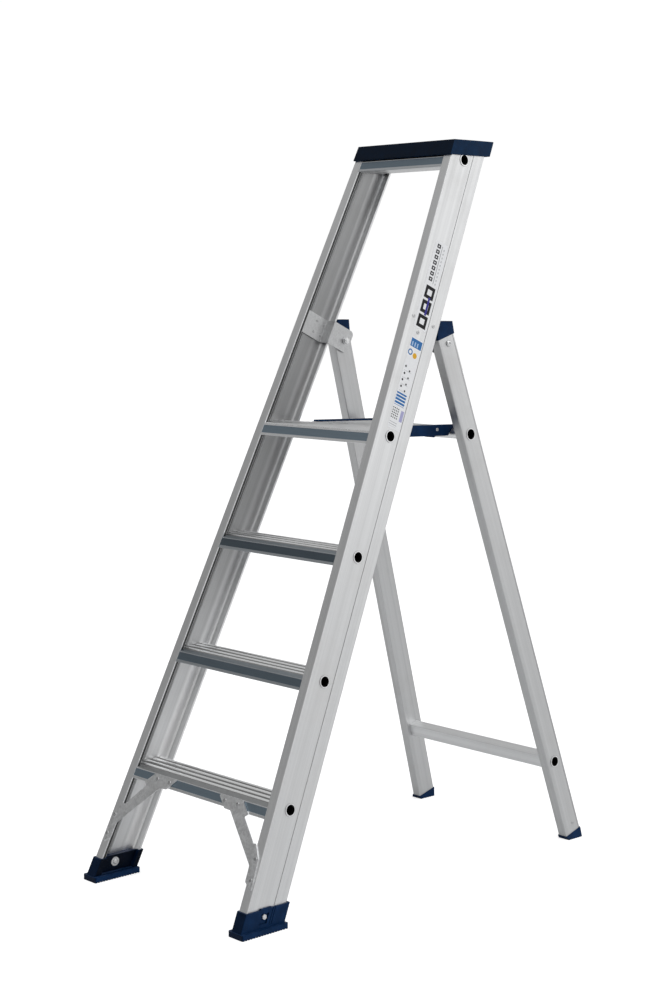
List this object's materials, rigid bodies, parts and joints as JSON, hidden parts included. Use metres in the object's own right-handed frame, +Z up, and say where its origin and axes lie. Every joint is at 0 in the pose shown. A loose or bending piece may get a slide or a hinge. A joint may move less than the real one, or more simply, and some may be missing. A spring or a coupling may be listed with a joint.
{
  "type": "platform step ladder",
  "caption": "Folding aluminium platform step ladder with ribbed treads, a hooked fold-up platform, a handrail frame and plastic feet.",
  "frame": {"origin": "on the floor, in the middle of the ladder's bounding box", "axes": "+Z up; the climber stands at -Y and faces +Y; +X is the climber's right"},
  "size_m": [0.553, 1.069, 1.634],
  "materials": {
    "stile_aluminium": "mill-finish extruded aluminium",
    "leg_aluminium": "mill-finish extruded aluminium",
    "tread_aluminium": "ribbed extruded aluminium",
    "deck_aluminium": "ribbed extruded aluminium",
    "tube_aluminium": "drawn tube, rolled ends",
    "bracket_steel": "zinc-plated pressed steel",
    "zinc_steel": "zinc-plated fasteners",
    "rivet_steel": "bright rivets",
    "navy_plastic": "moulded, fine grain",
    "sticker_film": "printed film"
  },
  "bodies": {
    "front_frame": {"brace_left": "bracket_steel", "brace_right": "bracket_steel", "brace_rivets_left": "rivet_steel", "brace_rivets_right": "rivet_steel", "front_foot_bolts": "zinc_steel", "front_foot_left": "navy_plastic", "front_foot_nuts": "zinc_steel", "front_foot_right": "navy_plastic", "front_foot_washers": "zinc_steel", "hinge_bolts": "zinc_steel", "hinge_bracket_left": "bracket_steel", "hinge_bracket_right": "bracket_steel", "hinge_bracket_rivets_left": "rivet_steel", "hinge_bracket_rivets_right": "rivet_steel", "hinge_nuts": "zinc_steel", "hinge_spacers": "zinc_steel", "hinge_washers": "zinc_steel", "platform_front_step": "tread_aluminium", "platform_hinge_lug_rivets": "rivet_steel", "platform_hinge_lugs": "bracket_steel", "platform_hinge_rod": "zinc_steel", "step_1": "tread_aluminium", "step_2": "tread_aluminium", "step_3": "tread_aluminium", "sticker_lower": "sticker_film", "sticker_upper": "sticker_film", "stile_left": "stile_aluminium", "stile_right": "stile_aluminium", "tie_tube_platform": "tube_aluminium", "tie_tube_step_1": "tube_aluminium", "tie_tube_step_2": "tube_aluminium", "tie_tube_step_3": "tube_aluminium", "tie_tube_top": "tube_aluminium", "top_cap": "navy_plastic", "top_cross_bar": "tread_aluminium"},
    "rear_frame": {"lower_cross_bar": "leg_aluminium", "rear_foot_left": "navy_plastic", "rear_foot_right": "navy_plastic", "rear_foot_rivets": "rivet_steel", "rear_leg_left": "leg_aluminium", "rear_leg_right": "leg_aluminium", "rear_leg_top_plug_left": "navy_plastic", "rear_leg_top_plug_right": "navy_plastic", "tie_tube_lower": "tube_aluminium", "upper_cross_bar": "tube_aluminium"},
    "platform": {"platform_catch": "navy_plastic", "platform_deck": "deck_aluminium", "platform_side_cap_left": "navy_plastic", "platform_side_cap_right": "navy_plastic", "platform_side_cap_rivets": "rivet_steel"}
  },
  "joints": [
    {"name": "rear_frame_hinge", "type": "hinge", "parent": "front_frame", "child": "rear_frame", "pos_m": [0, 0.1441, 1.183], "axis": [-1, 0, 0], "range_deg": [0, 41]},
    {"name": "platform_hinge", "type": "hinge", "parent": "front_frame", "child": "platform", "pos_m": [0, 0.0076, 0.9915], "axis": [1, 0, 0], "range_deg": [0, 65.6]}
  ],
  "couplings": [
    {"joint": "platform_hinge", "follows": "rear_frame_hinge", "ratio": 1.6}
  ]
}
